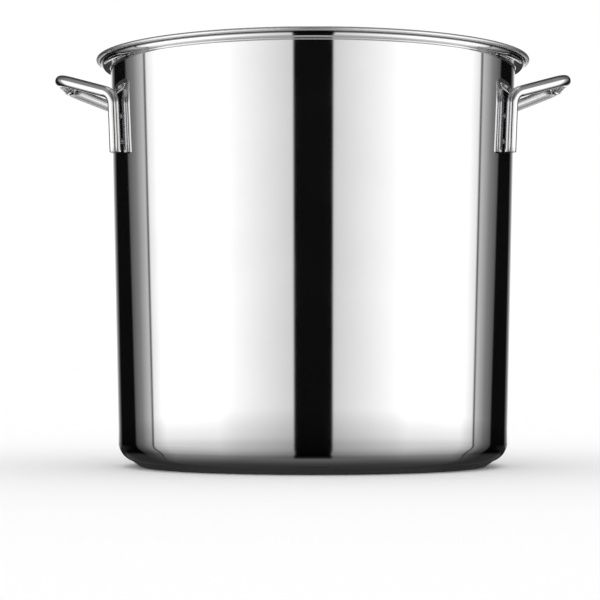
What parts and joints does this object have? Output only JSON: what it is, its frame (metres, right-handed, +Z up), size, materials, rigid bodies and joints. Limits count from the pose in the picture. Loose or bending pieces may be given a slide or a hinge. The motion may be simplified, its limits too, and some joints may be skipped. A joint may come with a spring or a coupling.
{
  "type": "stock pot",
  "caption": "Tall straight-sided stainless-steel stock pot with a stepped, curled rim that seats a lid, a sandwich base and a bent-rod loop handle on each side.",
  "frame": {"origin": "middle of the underside of the base, on the pot's axis", "axes": "+Z up along the pot's axis; +X towards the right handle, with the left handle on -X; +Y towards the rear"},
  "size_m": [0.4598, 0.389, 0.3645],
  "materials": {
    "polished_steel": "mirror-polished stainless steel outside, satin inside",
    "aluminium": "plain sheet, hidden inside the base",
    "weld_steel": "bare weld metal, slightly heat-tinted"
  },
  "bodies": {
    "root": {"pot_body": "polished_steel", "base_core": "aluminium", "base_cap": "polished_steel", "handle_left": "polished_steel", "handle_right": "polished_steel", "weld_left_front_lower": "weld_steel", "weld_left_front_upper": "weld_steel", "weld_left_rear_lower": "weld_steel", "weld_left_rear_upper": "weld_steel", "weld_right_front_lower": "weld_steel", "weld_right_front_upper": "weld_steel", "weld_right_rear_lower": "weld_steel", "weld_right_rear_upper": "weld_steel"}
  },
  "joints": []
}
